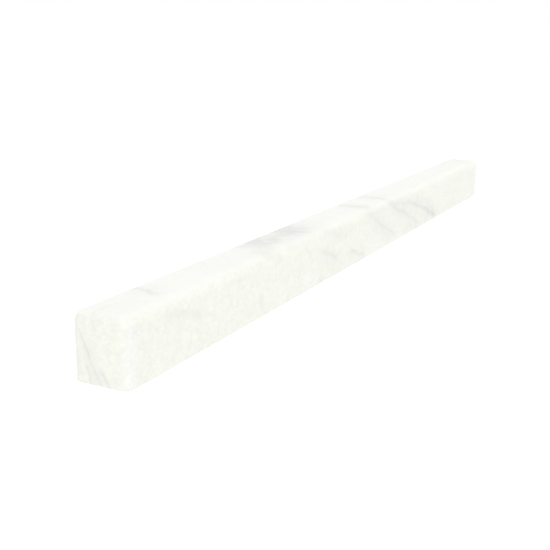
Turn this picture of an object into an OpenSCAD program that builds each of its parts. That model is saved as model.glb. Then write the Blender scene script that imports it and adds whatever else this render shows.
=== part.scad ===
// A pencil liner: one straight, nearly square bar sawn from a polished marble slab.
// The two long edges of the polished top are rolled over, the edges round both ends are eased
// to a smaller radius, and the arris of the sawn bed is only just taken off.
// Origin at the middle of the bed, length along X, width along Y, polished top at +Z.

/* [Bar] */
// Length of the bar, end face to end face, along X
bar_length = 304.8; // [60:0.1:620]
// Width across the bar, side to side, along Y
bar_width = 15.9; // [10.5:0.1:60]
// Depth of the bar from its sawn bed up to its polished top, along Z
bar_depth = 18; // [6:0.1:40]

/* [Edges] */
// Radius rolled along the two long edges of the polished top
long_edge_radius = 3.2; // [0.6:0.1:5]
// Radius eased round each end face, down its two upright edges and along its top edge
end_edge_radius = 2; // [0.6:0.1:4.5]
// Width of the small flat taken off the arris round the bed
bed_arris = 0.3; // [0.1:0.1:0.5]

/* [Hidden] */
// Smoothness of the round edges
$fn = 96;
// The end radius stays a little under the long one, so that it can turn the top corners
end_r = min(end_edge_radius, 0.9 * long_edge_radius);
// Radius that the middle line of the end rounding turns through at each top corner
turn_r = long_edge_radius - end_r;
// Half of the length and width
half_l = bar_length / 2;
half_w = bar_width / 2;
// Where the straight run of the long edges stops and the end rounding starts
run_l = half_l - end_r;
// Where the flat of each end face stops, to each side
flat_w = half_w - end_r;
// Where the flat of the top stops, to each side, and where the upright sides stop
top_w = half_w - long_edge_radius;
side_h = bar_depth - long_edge_radius;

// One quarter of a round disc, in the first quadrant
module quarter_disc(radius) {
    intersection() {
        circle(r = radius);
        square([radius, radius]);
    }
}

// Section across the bar above the arris: flat sides, flat top, two rolled top corners.
// X of the drawing is the width, Y of the drawing is the height.
module section(half_width, height, corner_r) {
    union() {
        translate([-half_width, bed_arris])
            square([2 * half_width, height - corner_r - bed_arris]);
        translate([corner_r - half_width, bed_arris])
            square([2 * (half_width - corner_r), height - bed_arris]);
        translate([half_width - corner_r, height - corner_r])
            quarter_disc(corner_r);
        mirror([1, 0])
            translate([half_width - corner_r, height - corner_r])
                quarter_disc(corner_r);
    }
}

// The section drawn along X, from one place along the bar to another
module along_bar(from_x, to_x) {
    translate([from_x, 0, 0])
        rotate([90, 0, 90])
            linear_extrude(height = to_x - from_x)
                children();
}

// Eased edges of one end, at +X: two upright ones, the top one, and the two turned corners
module end_rounding() {
    for (side = [0, 1])
        mirror([0, side, 0]) {
            translate([run_l, flat_w, bed_arris])
                rotate_extrude(angle = 90)
                    square([end_r, side_h - bed_arris]);
            translate([run_l, top_w, side_h])
                rotate([90, 0, 90])
                    rotate_extrude(angle = 90)
                        translate([turn_r, 0])
                            quarter_disc(end_r);
        }
    translate([run_l, -top_w, bar_depth - end_r])
        rotate([-90, -90, 0])
            rotate_extrude(angle = 90)
                square([end_r, 2 * top_w]);
}

// One end of the bar, at +X, over the length of its rounding
module bar_end() {
    along_bar(run_l, half_l)
        section(flat_w, bar_depth - end_r, turn_r);
    end_rounding();
}

// The lowest layer of the bar, drawn in all round its foot to take off the arris
module bed_layer() {
    along_bar(-run_l, run_l)
        polygon([
            [bed_arris - half_w, 0],
            [half_w - bed_arris, 0],
            [half_w, bed_arris],
            [-half_w, bed_arris]
        ]);
    translate([0, flat_w, 0])
        rotate([90, 0, 0])
            linear_extrude(height = 2 * flat_w)
                polygon([
                    [bed_arris - half_l, 0],
                    [half_l - bed_arris, 0],
                    [half_l, bed_arris],
                    [-half_l, bed_arris]
                ]);
    for (end = [0, 1])
        for (side = [0, 1])
            mirror([end, 0, 0])
                mirror([0, side, 0])
                    translate([run_l, flat_w, 0])
                        rotate_extrude(angle = 90)
                            polygon([
                                [0, 0],
                                [end_r - bed_arris, 0],
                                [end_r, bed_arris],
                                [0, bed_arris]
                            ]);
}

// The whole bar: one piece of marble
module liner_bar() {
    color([0.962, 0.966, 0.941])
        union() {
            along_bar(-run_l, run_l)
                section(half_w, bar_depth, long_edge_radius);
            bar_end();
            mirror([1, 0, 0])
                bar_end();
            bed_layer();
        }
}

liner_bar();
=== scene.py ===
from collections import namedtuple
from math import pi, radians, sqrt
from random import Random

import bpy
from bpy.props import FloatProperty, FloatVectorProperty, IntProperty, PointerProperty
from mathutils import Matrix, Vector


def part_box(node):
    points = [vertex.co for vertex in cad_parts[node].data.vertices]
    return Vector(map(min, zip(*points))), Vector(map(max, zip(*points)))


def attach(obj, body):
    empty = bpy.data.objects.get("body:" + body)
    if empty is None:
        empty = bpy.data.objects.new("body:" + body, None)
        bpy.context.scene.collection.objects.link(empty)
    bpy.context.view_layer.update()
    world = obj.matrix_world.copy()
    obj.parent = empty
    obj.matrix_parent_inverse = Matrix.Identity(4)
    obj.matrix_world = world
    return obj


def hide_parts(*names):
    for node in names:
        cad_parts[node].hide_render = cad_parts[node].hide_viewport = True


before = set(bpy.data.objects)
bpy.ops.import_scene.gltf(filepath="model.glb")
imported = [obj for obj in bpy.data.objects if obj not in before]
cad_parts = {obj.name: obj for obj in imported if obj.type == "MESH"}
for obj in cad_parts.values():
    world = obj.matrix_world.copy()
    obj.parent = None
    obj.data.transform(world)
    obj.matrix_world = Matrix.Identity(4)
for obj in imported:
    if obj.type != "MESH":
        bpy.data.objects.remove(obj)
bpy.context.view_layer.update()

bl_info = {
    "name": "Marble liner bar",
    "version": (1, 0, 0),
    "blender": (4, 5, 0),
    "location": "3D View > Sidebar > Liner",
    "description": "Models a marble liner bar, finishes its stone and lights it on a white floor",
    "category": "Object",
}

MM = 0.001
FOOT, CROWN = (Vector(corner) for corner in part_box("liner_bar"))
LENGTH, WIDTH, DEPTH = CROWN - FOOT

# Depth of the grain on the faces as they were worked, and of the saw's grooves in the bed.
HONED_GRAIN, POLISHED_GRAIN, SAWN_GRAIN = 0.02 * MM, 0.003 * MM, 0.06 * MM
SAW_GROOVE = 0.12 * MM
CALCITE_IOR = 1.6

# A vein is a thin sheet through the stone, which shows as a line wherever a face cuts it.
# Middle, reach and half width are in millimetres of the bar's frame, where the front side is
# near y -8, the near end at x -152.4 and the top at z 18. Facing is the way square to the
# sheet, reach is how far it runs each way before it is gone, and bend curves it along the
# bar, per metre. Darkness goes from 0 for clear stone to 1 for the vein's own grey, and haze
# is how much of that also spreads softly to both sides.
Vein = namedtuple("Vein", "middle facing reach half_width bend darkness haze")
VEINS = {
    "far dark": Vein((62.5, -8, 7.8), (0.33, 0, 1), (38, 34, 14), 0.9, 1.5, 0.42, 1.2),
    "far dark foot": Vein((76, -8, 3.2), (0.34, 0, 1), (13, 24, 6), 1.9, 0, 0.34, 0.5),
    "far dark shade": Vein((65, -8, 10), (0.36, 0, 1), (26, 30, 10), 3.2, 0, 0.14, 0),
    "far second": Vein((38, -8, 9.9), (0.38, 0, 1), (32, 24, 15), 0.9, 0, 0.28, 1.3),
    "far second high": Vein((34, -8, 14.2), (0.22, 0, 1), (13, 7, 5), 0.7, 0, 0.22, 0.7),
    "far third": Vein((12, -8, 10), (0.46, 0, 1), (29, 24, 15), 0.95, 0, 0.27, 1.7),
    "far third shade": Vein((13, -8, 5.5), (0.4, 0, 1), (20, 12, 9), 3.6, 0, 0.14, 0),
    "far cloud": Vein((42, -8, 6), (0.36, 0, 1), (48, 12, 14), 5, 0, 0.15, 0),
    "far end cloud": Vein((136, -8, 12), (0.4, 0, 1), (14, 8, 5), 2.5, 0, 0.08, 0),
    "far foot cloud": Vein((72, -8, 1.9), (0, 0, 1), (56, 8, 5), 1.4, 0, 0.13, 0),
    "middle cloud": Vein((-42, -8, 6), (0.2, 0, 1), (50, 10, 13), 5, 0, 0.08, 0),
    "foot dark": Vein((-12, -8, 3.1), (0.36, 0.1, 1), (13, 26, 6), 0.95, 0, 0.4, 0.6),
    "foot spot": Vein((-44, -8, 1.2), (0.1, 0, 1), (2.5, 4, 2.5), 0.9, 0, 0.4, 0.3),
    "middle cluster": Vein((-37, -8, 7.6), (0.38, 0.1, 1), (14, 26, 7), 1.0, 0, 0.29, 1.0),
    "under the roll": Vein((-31, -8, 14.2), (0.2, 0.3, 1), (18, 6, 6), 2.3, 0, 0.24, 0.5),
    "under the smudge": Vein((-77, -7.5, 16.1), (0.3, 0.3, 1), (8, 5, 5), 1.2, 0, 0.16, 0.4),
    "under the roll near": Vein((-62, -8, 16), (0.2, 0.3, 1), (11, 5, 5), 1.3, 0, 0.13, 0.4),
    "under the roll far": Vein((20, -8, 15.4), (0, 0, 1), (27, 6, 6), 1.2, 0, 0.17, 0),
    "side spot high": Vein((-55, -8, 13), (0.7, 0, 1), (5, 4, 4), 0.9, 0, 0.25, 0.5),
    "side spot low": Vein((-87, -8, 4.5), (1, 0, 0.3), (4, 4, 4), 0.8, 0, 0.2, 0.4),
    "top smudge left": Vein((-69.5, 3, 18), (0.36, 0.12, 1), (15, 8, 7), 3.0, 0, 0.48, 0.4),
    "top smudge right": Vein((-50.5, 2, 18), (0.4, -0.08, 1), (13, 9, 7), 2.8, 0, 0.5, 0.4),
    "top smudge cloud": Vein((-56, 0.5, 18), (0.25, 0.1, 1), (40, 10, 6), 6.5, 0, 0.36, 0),
    "top smudge middle": Vein((-60, 2, 18), (0.3, 0.1, 1), (13, 9, 6), 3.0, 0, 0.09, 0.2),
    "top smudge tail": Vein((-78.5, -4.3, 17.8), (0.3, 0.1, 1), (9, 5, 4), 2.2, 0, 0.3, 0.4),
    "top line": Vein((0, -0.5, 18), (0.5, 0.03, 1), (10, 7.5, 5), 1.2, 0, 0.36, 1.0),
    "top line far": Vein((20, 0.8, 18), (0.5, 0.02, 1), (10, 8.8, 5), 1.0, 0, 0.36, 1.0),
    "top end cloud": Vein((140, 1, 18), (0.2, 0.03, 1), (20, 12, 6), 4, 0, 0.14, 0),
    "near line": Vein((-130.8, 2, 17.8), (0.35, -0.13, 0.93), (8, 7, 5), 0.42, 0, 0.64, 0.5),
    "near smudge": Vein((-128, -8, 12.9), (0.38, -0.1, 1), (14, 6, 6), 1.4, 0, 0.22, 0.6),
    "far end line": Vein((152.4, 1, 9), (0, 0.8, -0.6), (14, 8, 10), 0.5, 0, 0.3, 0.8),
    "end main": Vein((-152.4, 2.9, 7.3), (0, 0.91, -0.42), (22, 7, 10), 0.4, 0, 0.33, 1.1),
    "end branch": Vein((-152.4, 3.2, 2.6), (0, 0.97, -0.22), (18, 4, 4), 0.45, 0, 0.34, 0.4),
    "end short": Vein((-152.4, -1.9, 1.8), (0, 0.92, -0.4), (14, 4, 3), 0.42, 0, 0.37, 0.5),
    "end high": Vein((-152.4, 1.1, 15.5), (0, 0.98, -0.15), (12, 4, 3.5), 0.6, 0, 0.2, 0.6),
    "end back": Vein((-152.4, 7.6, 8), (0, 1, -0.05), (9, 4, 13), 1.6, 0, 0.24, 0.4),
    "end back low": Vein((-152.4, 6, 5.4), (0, 1, -0.2), (8, 4, 4), 1.0, 0, 0.18, 0),
    "end middle low": Vein((-152.4, -0.2, 5), (0, 1, -0.4), (8, 4, 3), 0.8, 0, 0.16, 0),
    "end cloud": Vein((-152.4, 1.2, 5.5), (0, 0.9, -0.42), (14, 7, 9), 2.6, 0, 0.12, 0),
    # Painted shade: darkens the eased top edge of the near end, to temper the light it catches
    "end roll painted shade": Vein((-152.4, 0.5, 16.6), (0, 0.05, 1), (4, 9, 5), 1.0, 0, 0.2, 0),
}


class LinerSizes(bpy.types.PropertyGroup):
    """Sizes of the bar that its box doesn't give"""

    long_edge_radius: FloatProperty(
        name="Long edge radius",
        description="Radius rolled along the two long edges of the polished top",
        default=3.2 * MM, min=0.5 * MM, max=6 * MM, precision=5, unit="LENGTH",
    )
    end_edge_radius: FloatProperty(
        name="End edge radius",
        description="Radius eased round each end face",
        default=2 * MM, min=0.3 * MM, max=4 * MM, precision=5, unit="LENGTH",
    )
    bed_arris: FloatProperty(
        name="Bed arris",
        description="Width taken off the sharp edge round the sawn bed",
        default=0.3 * MM, min=0.1 * MM, max=1 * MM, precision=5, unit="LENGTH",
    )
    roll_steps: IntProperty(
        name="Roll steps",
        description="Faces round the turn of a rolled or eased edge",
        default=10, min=3, max=24,
    )
    mesh_step: FloatProperty(
        name="Mesh step",
        description="Distance between the cuts that let the faces waver",
        default=2 * MM, min=1 * MM, max=10 * MM, precision=5, unit="LENGTH",
    )
    waver: FloatProperty(
        name="Waver",
        description="How far polishing by hand leaves the faces short of true",
        default=0.08 * MM, min=0, max=0.3 * MM, precision=5, unit="LENGTH",
    )
    waver_length: FloatProperty(
        name="Waver length",
        description="Distance from one swell of the faces to the next",
        default=16 * MM, min=4 * MM, max=60 * MM, precision=5, unit="LENGTH",
    )
    chips: IntProperty(
        name="Chips",
        description="Small flakes lost from the arris along the bed",
        default=34, min=0, max=120,
    )
    chip_bite: FloatProperty(
        name="Chip bite",
        description="Depth of the deepest flake",
        default=0.3 * MM, min=0.1 * MM, max=1 * MM, precision=5, unit="LENGTH",
    )
    chip_seed: IntProperty(
        name="Chip seed",
        description="Chooses where the flakes are and how big each one is",
        default=5,
    )


class LinerMarble(bpy.types.PropertyGroup):
    """Colours and finish of the marble"""

    ground: FloatVectorProperty(
        name="Ground",
        description="Main colour of the marble",
        subtype="COLOR", default=(0.898, 0.911, 0.831), min=0, max=1,
    )
    clear: FloatVectorProperty(
        name="Clear patches",
        description="Whiter colour that drifts through the ground",
        subtype="COLOR", default=(0.918, 0.929, 0.857), min=0, max=1,
    )
    vein: FloatVectorProperty(
        name="Vein",
        description="Grey of the veins at their darkest",
        subtype="COLOR", default=(0.725, 0.73, 0.7), min=0, max=1,
    )
    # Painted highlight: a whiter colour mixed in on the polished top, its rolled edges and the
    # front upright edges, standing in for their sheen and the light they catch
    bright: FloatVectorProperty(
        name="Bright",
        description="Whiter colour that polishing and easing by hand bring out",
        subtype="COLOR", default=(0.93, 0.935, 0.92), min=0, max=1,
    )
    dust: FloatVectorProperty(
        name="Saw dust",
        description="Powdery colour that the saw leaves on the bed",
        subtype="COLOR", default=(0.86, 0.865, 0.83), min=0, max=1,
    )
    crystal: FloatProperty(
        name="Crystal",
        description="Size of the calcite crystals",
        default=0.75 * MM, min=0.1 * MM, max=3 * MM, precision=5, unit="LENGTH",
    )
    crystal_contrast: FloatProperty(
        name="Crystal contrast",
        description="How far crystals of honed or broken stone differ in tone",
        subtype="FACTOR", default=0.09, min=0, max=1,
    )
    polished_contrast: FloatProperty(
        name="Polished contrast",
        description="How far crystals of polished or eased stone differ in tone",
        subtype="FACTOR", default=0.03, min=0, max=1,
    )
    # Painted highlight and reflection: how far the top and its rolled edges are whitened,
    # standing in for their sheen
    polish_highlight_strength: FloatProperty(
        name="Polish whitening",
        description="How far polishing brings out the bright colour",
        subtype="FACTOR", default=0.36, min=0, max=1,
    )
    # Painted highlight: how far the front upright edges are whitened, standing in for the light
    # they catch
    upright_highlight_strength: FloatProperty(
        name="Ease whitening",
        description="How far easing brings it out along the front upright edges",
        subtype="FACTOR", default=0.6, min=0, max=1,
    )
    polished_roughness: FloatProperty(
        name="Polished roughness",
        description="Roughness of the top and its rolled edges",
        subtype="FACTOR", default=0.28, min=0, max=1,
    )
    honed_roughness: FloatProperty(
        name="Honed roughness",
        description="Roughness of the long sides and the ends",
        subtype="FACTOR", default=0.4, min=0, max=1,
    )
    sawn_roughness: FloatProperty(
        name="Sawn roughness",
        description="Roughness of the bed and of broken stone",
        subtype="FACTOR", default=0.72, min=0, max=1,
    )


class LinerStudio(bpy.types.PropertyGroup):
    """Camera, floor and light"""

    camera_place: FloatVectorProperty(
        name="Camera place",
        description="Where the camera stands, in the bar's frame",
        subtype="XYZ", unit="LENGTH", default=(-308.2 * MM, -125.05 * MM, 80.4 * MM),
    )
    camera_yaw: FloatProperty(
        name="Camera yaw",
        description="Turn of the view from the run of the bar",
        subtype="ANGLE", default=radians(26.99),
    )
    camera_pitch: FloatProperty(
        name="Camera pitch",
        description="How far the view looks down",
        subtype="ANGLE", default=radians(15.11),
    )
    camera_roll: FloatProperty(
        name="Camera roll",
        description="Turn of the camera about its line of sight",
        subtype="ANGLE", default=radians(0.50),
    )
    camera_lens: FloatProperty(
        name="Lens",
        description="Focal length in millimetres, on a 36 mm sensor",
        default=58.45, min=10, max=300,
    )
    floor_size: FloatProperty(
        name="Floor size",
        description="Side of the square floor",
        default=6, min=1, unit="LENGTH",
    )
    floor_colour: FloatVectorProperty(
        name="Floor",
        description="Colour of the light that the floor sends up to the bar",
        subtype="COLOR", default=(0.9, 0.9, 0.9), min=0, max=1,
    )
    floor_glow: FloatProperty(
        name="Floor glow",
        description="Strength of the even light that the floor sends up to the bar",
        default=0.98, min=0,
    )
    floor_catch: FloatProperty(
        name="Floor catch",
        description="Share of the light and shade on the floor that shows",
        subtype="FACTOR", default=0.42, min=0, max=1,
    )
    floor_lift: FloatProperty(
        name="Floor lift",
        description="Light added to that, so that the floor looks white",
        default=0.64, min=0,
    )
    sky: FloatProperty(
        name="Sky",
        description="Strength of the light that comes evenly from all round",
        default=0.98, min=0,
    )
    key_place: FloatVectorProperty(
        name="Key place",
        description="Middle of the soft lamp behind the camera, to its right",
        subtype="XYZ", unit="LENGTH", default=(-1.3, -1.03, 0.65),
    )
    key_size: FloatProperty(
        name="Key size",
        description="Side of that lamp",
        default=1.4, min=0.1, unit="LENGTH",
    )
    key_power: FloatProperty(
        name="Key power",
        description="Its power in watts",
        default=4.6, min=0,
    )
    rim_place: FloatVectorProperty(
        name="Rim place",
        description="Middle of the soft lamp beyond the far end",
        subtype="XYZ", unit="LENGTH", default=(2.2, -0.7, 1.1),
    )
    rim_size: FloatProperty(
        name="Rim size",
        description="Side of that lamp",
        default=1.6, min=0.1, unit="LENGTH",
    )
    rim_power: FloatProperty(
        name="Rim power",
        description="Its power in watts",
        default=0.8, min=0,
    )


class Bench:
    """A bench to lay out shader nodes on and wire them up, all in metres"""

    def __init__(self, tree):
        self.tree = tree

    def lay(self, kind, feeds=None, **settings):
        """Lays out one node with its settings, fed by sockets or by plain values"""
        node = self.tree.nodes.new(kind)
        for name, value in settings.items():
            setattr(node, name, value)
        for socket, value in (feeds or {}).items():
            self.feed(node.inputs[socket], value)
        return node

    def feed(self, socket, value):
        """Wires a socket to another one, or sets it"""
        if isinstance(value, bpy.types.NodeSocket):
            self.tree.links.new(value, socket)
        elif socket.type == "RGBA":
            socket.default_value = (*value, 1)
        else:
            socket.default_value = value

    def math(self, operation, *values):
        return self.lay("ShaderNodeMath", dict(enumerate(values)), operation=operation).outputs[0]

    def vector(self, operation, *values):
        """Works on vectors, and gives a number where the operation makes one"""
        node = self.lay("ShaderNodeVectorMath", dict(enumerate(values)), operation=operation)
        return node.outputs["Value" if operation in ("DOT_PRODUCT", "LENGTH") else "Vector"]

    def parts(self, vector):
        """The x, y and z of a vector"""
        return self.lay("ShaderNodeSeparateXYZ", {0: vector}).outputs

    def fade(self, value, low, high, start=0.0, end=1.0):
        """Goes softly from start to end while the value goes from low to high"""
        feeds = {0: value, 1: low, 2: high, 3: start, 4: end}
        return self.lay("ShaderNodeMapRange", feeds, interpolation_type="SMOOTHSTEP").outputs[0]

    def blend(self, amount, first, second):
        """Mixes two numbers"""
        return self.lay("ShaderNodeMix", {0: amount, 2: first, 3: second}).outputs[0]

    def tint(self, amount, first, second):
        """Mixes two colours"""
        feeds = {0: amount, 6: first, 7: second}
        return self.lay("ShaderNodeMix", feeds, data_type="RGBA").outputs[2]

    def noise(self, place, grain, detail=2.0, roughness=0.5):
        """A node of soft noise from 0 to 1, in blotches about one grain across"""
        feeds = {"Vector": place, "Scale": 1 / grain, "Detail": detail, "Roughness": roughness}
        return self.lay("ShaderNodeTexNoise", feeds)


def new_bench(name):
    """A material with a bare bench"""
    material = bpy.data.materials.new(name)
    material.use_nodes = True
    material.node_tree.nodes.clear()
    return material, Bench(material.node_tree)


def vein_group():
    """The node group that says how dark one vein makes the stone at a place"""
    tree = bpy.data.node_groups.new("Vein sheet", "ShaderNodeTree")
    sockets = {
        "Place": "NodeSocketVector",
        "Middle": "NodeSocketVector",
        "Facing": "NodeSocketVector",
        "Reach": "NodeSocketVector",
        "Half width": "NodeSocketFloat",
        "Bend": "NodeSocketFloat",
        "Darkness": "NodeSocketFloat",
        "Haze": "NodeSocketFloat",
    }
    for name, kind in sockets.items():
        tree.interface.new_socket(name=name, in_out="INPUT", socket_type=kind)
    tree.interface.new_socket(name="Dark", in_out="OUTPUT", socket_type="NodeSocketFloat")
    line_edge, haze_edge = 1.6, 7  # distances from the sheet, in half widths
    haze_peak = 0.5
    full_run = 0.45  # share of the reach that is at full strength

    bench = Bench(tree)
    given = bench.lay("NodeGroupInput").outputs
    from_middle = bench.vector("SUBTRACT", given["Place"], given["Middle"])
    along = bench.parts(from_middle)[0]
    curve = bench.math("MULTIPLY", bench.math("MULTIPLY", along, along), given["Bend"])
    off_plane = bench.vector("DOT_PRODUCT", from_middle, given["Facing"])
    off_sheet = bench.math("ABSOLUTE", bench.math("ADD", off_plane, curve))
    width = bench.math("DIVIDE", off_sheet, given["Half width"])
    line = bench.fade(width, 0, line_edge, start=1, end=0)
    haze = bench.fade(width, 0, haze_edge, start=haze_peak, end=0)
    haze = bench.math("MULTIPLY", haze, given["Haze"])
    run = bench.vector("LENGTH", bench.vector("DIVIDE", from_middle, given["Reach"]))
    ends = bench.fade(run, full_run, 1, start=1, end=0)
    dark = bench.math("MULTIPLY", bench.math("ADD", line, haze), ends)
    dark = bench.math("MULTIPLY", dark, given["Darkness"])
    bench.lay("NodeGroupOutput", {"Dark": dark})
    return tree


def stirred(bench, place):
    """The place, stirred a little so that no vein runs dead straight"""

    def push(grain, detail, reach):
        stir = bench.noise(place, grain, detail=detail).outputs["Color"]
        off_mean = bench.vector("SUBTRACT", stir, (0.5, 0.5, 0.5))
        return bench.vector("MULTIPLY", off_mean, (reach, reach, reach))

    slow = push(grain=14 * MM, detail=1, reach=3 * MM)
    quick = push(grain=2.2 * MM, detail=2, reach=1.1 * MM)
    return bench.vector("ADD", place, bench.vector("ADD", slow, quick))


def placed_veins(bench, place, wandering):
    """How dark the listed veins make the stone, each broken a little along its run"""
    sheet = bpy.data.node_groups.get("Vein sheet") or vein_group()
    total = 0.0
    for name, vein in VEINS.items():
        feeds = {
            "Place": wandering,
            "Middle": Vector(vein.middle) * MM,
            "Facing": Vector(vein.facing).normalized(),
            "Reach": Vector(vein.reach) * MM,
            "Half width": vein.half_width * MM,
            "Bend": vein.bend,
            "Darkness": vein.darkness,
            "Haze": vein.haze,
        }
        node = bench.lay("ShaderNodeGroup", node_tree=sheet, label=name)
        for socket, value in feeds.items():
            bench.feed(node.inputs[socket], value)
        total = bench.math("ADD", node.outputs["Dark"], total)
    clouds = bench.noise(place, 4 * MM, detail=3).outputs["Fac"]
    breaks = bench.fade(clouds, 0.3, 0.6, start=0.6, end=1.1)
    return bench.math("MULTIPLY", total, breaks)


def faint_hairs(bench, place, wandering):
    """How dark a few faint hairs make the stone, here and there through the whole bar"""
    hair_width, hair_darkness = 0.012, 0.22
    drift = bench.noise(wandering, 30 * MM, detail=3).outputs["Fac"]
    ridge = bench.math("ABSOLUTE", bench.math("SUBTRACT", drift, 0.5))
    hairs = bench.fade(ridge, 0, hair_width, start=hair_darkness, end=0)
    patches = bench.fade(bench.noise(place, 26 * MM).outputs["Fac"], 0.45, 0.7)
    return bench.math("MULTIPLY", hairs, patches)


def veining(bench, place):
    """How dark the stone is, from clear at 0 to a vein's own grey at 1"""
    wandering = stirred(bench, place)
    placed = placed_veins(bench, place, wandering)
    hairs = faint_hairs(bench, place, wandering)
    return bench.math("MINIMUM", bench.math("ADD", placed, hairs), 1.0)


def crystal_tone(bench, place, crystal, contrast):
    """Each calcite crystal a touch darker or lighter, as a factor about 1"""
    fine_scale, coarse_scale = 1 / crystal, 0.45 / crystal
    coarse_share = 0.4
    fine = bench.lay("ShaderNodeTexVoronoi", {"Vector": place, "Scale": fine_scale})
    coarse = bench.lay("ShaderNodeTexVoronoi", {"Vector": place, "Scale": coarse_scale})
    fine_tone = bench.parts(fine.outputs["Color"])[0]
    coarse_tone = bench.parts(coarse.outputs["Color"])[1]
    tone = bench.blend(coarse_share, fine_tone, coarse_tone)
    off_mean = bench.math("SUBTRACT", tone, 0.5)
    return bench.math("MULTIPLY_ADD", off_mean, contrast, 1.0)


def front_upright_highlight(bench, place, sizes):
    """Painted highlight mask: 1 on the turn of the front upright edges, fading round the end and
    along the front
    """
    x, y, _ = bench.parts(place)
    ease = sizes.end_edge_radius
    gone_round_end = ease * 0.8
    full_on_side, gone_on_side = ease * 0.8, ease * 2.5
    off_middle = bench.math("ABSOLUTE", x)
    round_end = bench.fade(y, FOOT.y + gone_round_end, FOOT.y)
    on_side = bench.fade(off_middle, CROWN.x - gone_on_side, CROWN.x - full_on_side)
    return bench.math("MULTIPLY", round_end, on_side)


def stone_colour(bench, place, marble, contrast, bright):
    """Ground with clear patches drifting through it, mixed toward a whiter colour as painted
    highlight, its crystals and its veins
    """
    drift = bench.noise(place, 22 * MM, detail=4, roughness=0.6).outputs["Fac"]
    ground = bench.tint(bench.fade(drift, 0.35, 0.68), marble.ground, marble.clear)
    # Painted highlight: the ground is mixed toward the whiter colour by the given amount
    ground = bench.tint(bright, ground, marble.bright)
    tone = crystal_tone(bench, place, marble.crystal, contrast)
    speckled = bench.vector("MULTIPLY", ground, tone)
    return bench.tint(veining(bench, place), speckled, marble.vein)


def finish_stone(bench, colour, roughness, height, **sockets):
    """Ends a bench in polished or rough stone, with its relief in metres"""
    bump = bench.lay("ShaderNodeBump", {"Strength": 1, "Distance": 1, "Height": height})
    feeds = {
        "Base Color": colour,
        "Roughness": roughness,
        "Normal": bump.outputs[0],
        "IOR": CALCITE_IOR,
    }
    feeds.update(sockets)
    stone = bench.lay("ShaderNodeBsdfPrincipled", feeds)
    bench.lay("ShaderNodeOutputMaterial", {"Surface": stone.outputs[0]})


def work_of_faces(bench, place, sizes):
    """Masks from 0 to 1: the sawn bed, and the polish that fades out down the roll"""
    up = bench.parts(place)[2]
    full_below, gone_above = sizes.bed_arris * 0.1, sizes.bed_arris * 0.4
    on_bed = bench.fade(up, full_below, gone_above, start=1, end=0)
    polish_foot = CROWN.z - sizes.long_edge_radius * 0.65
    return on_bed, bench.fade(up, polish_foot, CROWN.z)


def saw_marks(bench, place):
    """Fine lines from 0 to 1 that run across the bar"""
    saw_pitch = 1.4 * MM
    drawn_out = (1, 0.12, 1)
    across = bench.vector("MULTIPLY", place, drawn_out)
    return bench.noise(across, saw_pitch, detail=3, roughness=0.7).outputs["Fac"]


def worked_height(bench, place, marble, on_bed, polished, saw_lines):
    """Relief in metres: grain all over, and the saw's grooves on the bed"""
    grain = bench.noise(place, marble.crystal, detail=4, roughness=0.6).outputs["Fac"]
    depth = bench.blend(polished, HONED_GRAIN, POLISHED_GRAIN)
    depth = bench.blend(on_bed, depth, SAWN_GRAIN)
    groove = bench.math("MULTIPLY", on_bed, SAW_GROOVE)
    grooves = bench.math("MULTIPLY", saw_lines, groove)
    return bench.math("ADD", bench.math("MULTIPLY", grain, depth), grooves)


def worked_colour(bench, place, marble, polished, eased):
    """The stone, more even where it is polished or eased, and whiter there as painted highlight
    """
    smooth = bench.math("MAXIMUM", polished, eased)
    contrast = bench.blend(smooth, marble.crystal_contrast, marble.polished_contrast)
    # Painted highlight on the top and its rolled edges
    polish_highlight = bench.math("MULTIPLY", polished, marble.polish_highlight_strength)
    bright = bench.math("MAXIMUM", eased, polish_highlight)
    return stone_colour(bench, place, marble, contrast, bright)


def worked_marble(marble, sizes):
    """The bar's marble: polished on top, honed on the sides and ends, sawn on the bed"""
    material, bench = new_bench("worked marble")
    place = bench.lay("ShaderNodeTexCoord").outputs["Object"]
    on_bed, polished = work_of_faces(bench, place, sizes)
    # Painted highlight along the front upright edges, by its mask and strength
    eased = front_upright_highlight(bench, place, sizes)
    eased = bench.math("MULTIPLY", eased, marble.upright_highlight_strength)
    saw_lines = saw_marks(bench, place)

    roughness = bench.blend(polished, marble.honed_roughness, marble.polished_roughness)
    roughness = bench.blend(on_bed, roughness, marble.sawn_roughness)
    height = worked_height(bench, place, marble, on_bed, polished, saw_lines)
    colour = worked_colour(bench, place, marble, polished, eased)
    dust_share = bench.fade(saw_lines, 0.35, 0.65, start=0.55, end=0.95)
    dusty = bench.math("MULTIPLY", on_bed, dust_share)
    colour = bench.tint(dusty, colour, marble.dust)
    depth_of_glow = {
        "Subsurface Weight": 0.25,
        "Subsurface Radius": (1, 0.9, 0.7),
        "Subsurface Scale": 1.2 * MM,
    }
    finish_stone(bench, colour, roughness, height, **depth_of_glow)
    return material


def broken_marble(marble):
    """Sugary broken stone inside the chips"""
    sugar_depth = 0.12 * MM
    # Broken stone gets no painted highlight
    no_painted_highlight = 0.0
    material, bench = new_bench("broken marble")
    place = bench.lay("ShaderNodeTexCoord").outputs["Object"]
    sugar = bench.noise(place, marble.crystal * 0.5, detail=5, roughness=0.7).outputs["Fac"]
    roughness = bench.fade(sugar, 0.3, 0.7, marble.sawn_roughness, marble.honed_roughness)
    height = bench.math("MULTIPLY", sugar, sugar_depth)
    colour = stone_colour(bench, place, marble, marble.crystal_contrast, no_painted_highlight)
    finish_stone(bench, colour, roughness, height)
    return material


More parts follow.
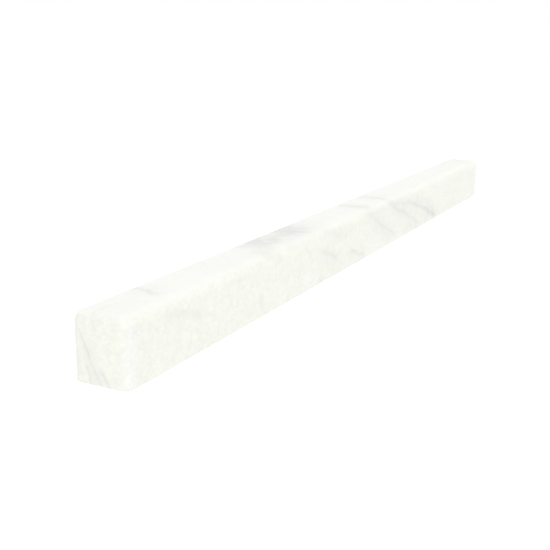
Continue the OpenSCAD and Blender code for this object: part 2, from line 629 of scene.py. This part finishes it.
def bevel_edges(bar, wanted, width, steps):
    """Rounds the edges whose two ends pass the test, and no others"""
    mesh = bar.data
    for kind in (mesh.polygons, mesh.edges, mesh.vertices):
        kind.foreach_set("select", [False] * len(kind))
    for edge in mesh.edges:
        edge.select = wanted(*(mesh.vertices[index].co for index in edge.vertices))
    bpy.context.tool_settings.mesh_select_mode = (False, True, False)
    bpy.ops.object.mode_set(mode="EDIT")
    bpy.ops.mesh.bevel(offset=width, segments=steps, profile=0.5, affect="EDGES")
    bpy.ops.object.mode_set(mode="OBJECT")


def rolled_block(sizes):
    """The block of the bar: long edges rolled, ends eased, arris of the bed taken off"""
    bpy.ops.mesh.primitive_cube_add(
        size=1, location=(FOOT + CROWN) / 2, scale=(LENGTH, WIDTH, DEPTH)
    )
    bar = bpy.context.object
    bar.name = "marble_bar"
    bpy.ops.object.transform_apply(location=True, rotation=True, scale=True)
    touch = 0.01 * MM
    arris_steps = 2

    def long_top(a, b):
        return min(a.z, b.z) > CROWN.z - touch and abs(a.x - b.x) > touch

    def round_end(a, b):
        one_end = a.x * b.x > 0 and min(abs(a.x), abs(b.x)) > CROWN.x - touch
        return one_end and max(a.z, b.z) > FOOT.z + touch

    def round_bed(a, b):
        return max(a.z, b.z) < FOOT.z + touch

    bevel_edges(bar, long_top, sizes.long_edge_radius, sizes.roll_steps)
    bevel_edges(bar, round_end, sizes.end_edge_radius, sizes.roll_steps)
    bevel_edges(bar, round_bed, sizes.bed_arris, arris_steps)
    return bar


def cut_across(axis, step):
    """Cuts the bar square to one axis, about one step apart, from one side to the other"""
    low, high = FOOT[axis], CROWN[axis]
    count = max(1, round((high - low) / step))
    square = Vector((axis == 0, axis == 1, axis == 2))
    bpy.ops.object.mode_set(mode="EDIT")
    for turn in range(1, count):
        place = square * (low + (high - low) * turn / count)
        bpy.ops.mesh.select_all(action="SELECT")
        bpy.ops.mesh.bisect(plane_co=place, plane_no=square)
    bpy.ops.object.mode_set(mode="OBJECT")


def work_modifier(bar, kind, **settings):
    """Adds one modifier to the bar and applies it"""
    modifier = bar.modifiers.new(kind.title(), kind)
    for name, value in settings.items():
        setattr(modifier, name, value)
    bpy.ops.object.modifier_apply(modifier=modifier.name)


def waver_faces(bar, sizes):
    """Lets every face but the bed swell and sink a little, always inside its true place"""
    above_bed = bar.vertex_groups.new(name="above bed")
    lowest = sizes.bed_arris * 1.2
    indices = [vertex.index for vertex in bar.data.vertices if vertex.co.z > lowest]
    above_bed.add(indices, 1, "REPLACE")
    swell = bpy.data.textures.new("swell", "CLOUDS")
    swell.noise_scale = sizes.waver_length
    work_modifier(
        bar, "DISPLACE", texture=swell, texture_coords="LOCAL",
        strength=sizes.waver, mid_level=1, vertex_group=above_bed.name,
    )


def chip_cutter(sizes):
    """Rough balls that bite into the arris along both sides of the bed, as one object"""
    smallest, largest = 0.8, 2.2  # radii in millimetres
    least_bite = 0.4
    pick = Random(sizes.chip_seed)
    balls = []
    for _ in range(sizes.chips):
        radius = pick.uniform(smallest, largest) * MM
        bite = pick.uniform(least_bite, 1) * sizes.chip_bite
        side = pick.choice((-1, 1))
        away = (radius - bite) / sqrt(2)
        along = pick.uniform(FOOT.x + radius * 2, CROWN.x - radius * 2)
        bpy.ops.object.select_all(action="DESELECT")
        bpy.ops.mesh.primitive_ico_sphere_add(
            subdivisions=3, radius=radius,
            location=(along, side * (WIDTH / 2 + away), FOOT.z - away),
            rotation=[pick.uniform(0, pi) for _ in range(3)],
        )
        balls.append(bpy.context.object)
    for ball in balls:
        ball.select_set(True)
    bpy.ops.object.join()
    bpy.ops.object.transform_apply(location=True, rotation=True, scale=True)
    return bpy.context.object


def take_chips(bar, sizes, broken):
    """Takes the chips out of the bar and leaves broken stone in them"""
    cutter = chip_cutter(sizes)
    cutter.data.materials.append(broken)
    bpy.ops.object.select_all(action="DESELECT")
    bar.select_set(True)
    bpy.context.view_layer.objects.active = bar
    work_modifier(
        bar, "BOOLEAN", operation="DIFFERENCE", solver="EXACT", object=cutter,
        use_self=True, material_mode="TRANSFER",
    )
    bpy.data.objects.remove(cutter)


class LINER_OT_bar(bpy.types.Operator):
    """Model the marble bar in place of its CAD solid and finish its stone"""

    bl_idname = "liner.bar"
    bl_label = "Marble bar"
    bl_options = {"REGISTER", "UNDO"}

    def execute(self, context):
        sizes = context.scene.liner_sizes
        marble = context.scene.liner_marble
        crease = radians(35)
        bpy.ops.object.select_all(action="DESELECT")
        bar = rolled_block(sizes)
        for axis in range(3):
            cut_across(axis, sizes.mesh_step)
        waver_faces(bar, sizes)
        bar.data.materials.append(worked_marble(marble, sizes))
        if sizes.chips:
            take_chips(bar, sizes, broken_marble(marble))
        bpy.ops.object.shade_smooth_by_angle(angle=crease)
        work_modifier(bar, "WEIGHTED_NORMAL", keep_sharp=True)
        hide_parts("liner_bar")
        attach(bar, "root")
        return {"FINISHED"}


def seen_directly(bench):
    """1 for rays from the camera or off a gloss or glass surface, and 0 for other light"""
    rays = bench.lay("ShaderNodeLightPath").outputs
    mirrored = bench.math("MAXIMUM", rays["Is Glossy Ray"], rays["Is Transmission Ray"])
    return bench.math("MAXIMUM", rays["Is Camera Ray"], mirrored)


def floor_material(studio):
    """A plain pale floor that looks white, keeps the bar's shadow and lights its foot evenly"""
    material, bench = new_bench("white floor")
    glow = {"Color": studio.floor_colour, "Strength": studio.floor_glow}
    lift = {"Color": (1, 1, 1), "Strength": studio.floor_lift}
    plain = bench.lay("ShaderNodeEmission", glow)
    shadowed = bench.lay("ShaderNodeBsdfDiffuse", {"Color": (studio.floor_catch,) * 3})
    white = bench.lay("ShaderNodeEmission", lift)
    looks = bench.lay("ShaderNodeAddShader", {0: shadowed.outputs[0], 1: white.outputs[0]})
    feeds = {0: seen_directly(bench), 1: plain.outputs[0], 2: looks.outputs[0]}
    shader = bench.lay("ShaderNodeMixShader", feeds)
    bench.lay("ShaderNodeOutputMaterial", {"Surface": shader.outputs[0]})
    return material


def light_world(studio):
    """Even light from all round, seen as plain white"""
    world = bpy.data.worlds.new("white studio")
    world.use_nodes = True
    world.node_tree.nodes.clear()
    bpy.context.scene.world = world
    bench = Bench(world.node_tree)
    strength = bench.blend(seen_directly(bench), studio.sky, 1.0)
    sky = bench.lay("ShaderNodeBackground", {"Color": (1, 1, 1), "Strength": strength})
    bench.lay("ShaderNodeOutputWorld", {"Surface": sky.outputs[0]})


def hang_lamp(name, place, size, power, mirrored):
    """A square soft lamp that faces the bar, and that polished stone mirrors or doesn't"""
    place = Vector(place)
    aim = (FOOT + CROWN) / 2 - place
    bpy.ops.object.light_add(
        type="AREA", location=place, rotation=aim.to_track_quat("-Z", "Y").to_euler()
    )
    lamp = bpy.context.object
    lamp.name = name
    lamp.data.size = size
    lamp.data.energy = power
    lamp.visible_glossy = mirrored


def stand_camera(studio):
    """The camera at the photograph's place and angle"""
    turn = (
        Matrix.Rotation(studio.camera_yaw - pi / 2, 3, "Z")
        @ Matrix.Rotation(pi / 2 - studio.camera_pitch, 3, "X")
        @ Matrix.Rotation(studio.camera_roll, 3, "Z")
    )
    bpy.ops.object.camera_add(location=studio.camera_place, rotation=turn.to_euler())
    camera = bpy.context.object
    camera.data.sensor_width = 36
    camera.data.lens = studio.camera_lens
    camera.data.clip_start = 10 * MM
    bpy.context.scene.camera = camera


class LINER_OT_stage(bpy.types.Operator):
    """Lay the white floor, hang the lamps and stand the camera"""

    bl_idname = "liner.stage"
    bl_label = "White studio"
    bl_options = {"REGISTER", "UNDO"}

    def execute(self, context):
        studio = context.scene.liner_studio
        bpy.ops.object.select_all(action="DESELECT")
        bpy.ops.mesh.primitive_plane_add(size=studio.floor_size, location=(0, 0, FOOT.z))
        floor = context.object
        floor.name = "floor"
        floor.data.materials.append(floor_material(studio))
        light_world(studio)
        hang_lamp("key", studio.key_place, studio.key_size, studio.key_power, mirrored=False)
        hang_lamp("rim", studio.rim_place, studio.rim_size, studio.rim_power, mirrored=True)
        stand_camera(studio)
        context.scene.view_settings.view_transform = "Standard"
        return {"FINISHED"}


class LINER_PT_sidebar(bpy.types.Panel):
    """Sizes, colours and the steps of the marble liner"""

    bl_idname = "LINER_PT_sidebar"
    bl_label = "Marble liner"
    bl_space_type = "VIEW_3D"
    bl_region_type = "UI"
    bl_category = "Liner"

    def draw(self, context):
        scene = context.scene
        for values in (scene.liner_sizes, scene.liner_marble, scene.liner_studio):
            box = self.layout.box()
            for name in values.__annotations__:
                box.prop(values, name)
        self.layout.operator(LINER_OT_bar.bl_idname)
        self.layout.operator(LINER_OT_stage.bl_idname)


CLASSES = (LinerSizes, LinerMarble, LinerStudio, LINER_OT_bar, LINER_OT_stage, LINER_PT_sidebar)


def register():
    for entry in CLASSES:
        bpy.utils.register_class(entry)
    bpy.types.Scene.liner_sizes = PointerProperty(type=LinerSizes)
    bpy.types.Scene.liner_marble = PointerProperty(type=LinerMarble)
    bpy.types.Scene.liner_studio = PointerProperty(type=LinerStudio)


def unregister():
    del bpy.types.Scene.liner_studio
    del bpy.types.Scene.liner_marble
    del bpy.types.Scene.liner_sizes
    for entry in reversed(CLASSES):
        bpy.utils.unregister_class(entry)


def main():
    register()
    bpy.ops.liner.bar()
    bpy.ops.liner.stage()


if __name__ == "__main__":
    main()
